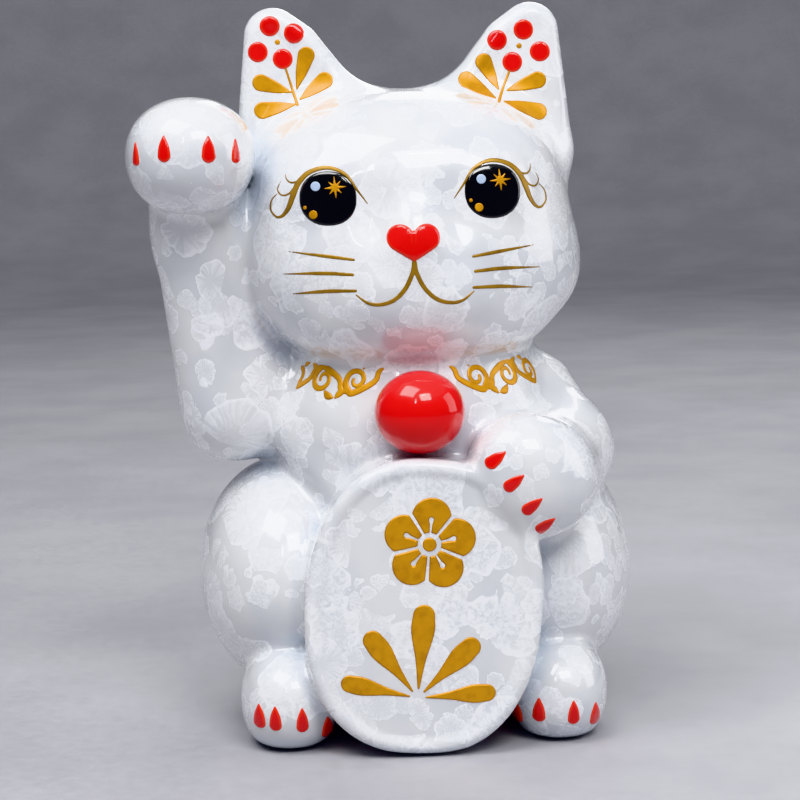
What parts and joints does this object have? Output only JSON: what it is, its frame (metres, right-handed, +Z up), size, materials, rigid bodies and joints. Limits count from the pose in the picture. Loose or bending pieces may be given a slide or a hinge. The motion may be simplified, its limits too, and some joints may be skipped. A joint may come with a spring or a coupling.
{
  "type": "beckoning cat figurine",
  "caption": "Hollow glazed ceramic cat sitting up with one paw raised and the other on an oval plaque, a coin slot behind the head and a pull-out drain stopper.",
  "frame": {"origin": "middle of the standing face, under the cat's body", "axes": "+Z up from the standing face; the cat faces -Y; its raised right paw is at -X"},
  "size_m": [0.1368, 0.1077, 0.2],
  "materials": {
    "white_glaze": "gloss crystalline glaze",
    "red_enamel": "gloss",
    "gold_lustre": "satin gold lustre",
    "black_enamel": "gloss",
    "white_enamel": "gloss",
    "stopper_rubber": "matt, soft translucent rubber"
  },
  "bodies": {
    "cat": {"body_shell": "white_glaze", "head_shell": "white_glaze", "raised_arm": "white_glaze", "left_arm": "white_glaze", "coin_plaque": "white_glaze", "tail": "white_glaze", "bell": "red_enamel", "eye_highlights": "white_enamel", "eye_sparkles": "gold_lustre", "eyelid_lines": "gold_lustre", "nose_enamel": "red_enamel", "mouth_line": "gold_lustre", "whisker_lines": "gold_lustre", "collar_scrolls": "gold_lustre", "raised_paw_claws": "red_enamel", "left_paw_claws": "red_enamel", "plaque_ornament": "gold_lustre", "right_eye_enamel": "black_enamel", "left_eye_enamel": "black_enamel", "right_ear_berries": "red_enamel", "left_ear_berries": "red_enamel", "right_ear_leaves": "gold_lustre", "left_ear_leaves": "gold_lustre", "right_foot_claws": "red_enamel", "left_foot_claws": "red_enamel"},
    "stopper": {"drain_stopper": "stopper_rubber"}
  },
  "joints": [
    {"name": "stopper_pull", "type": "slide", "parent": "cat", "child": "stopper", "axis": [0, 0, -1], "range_m": [0, 0.03]}
  ]
}
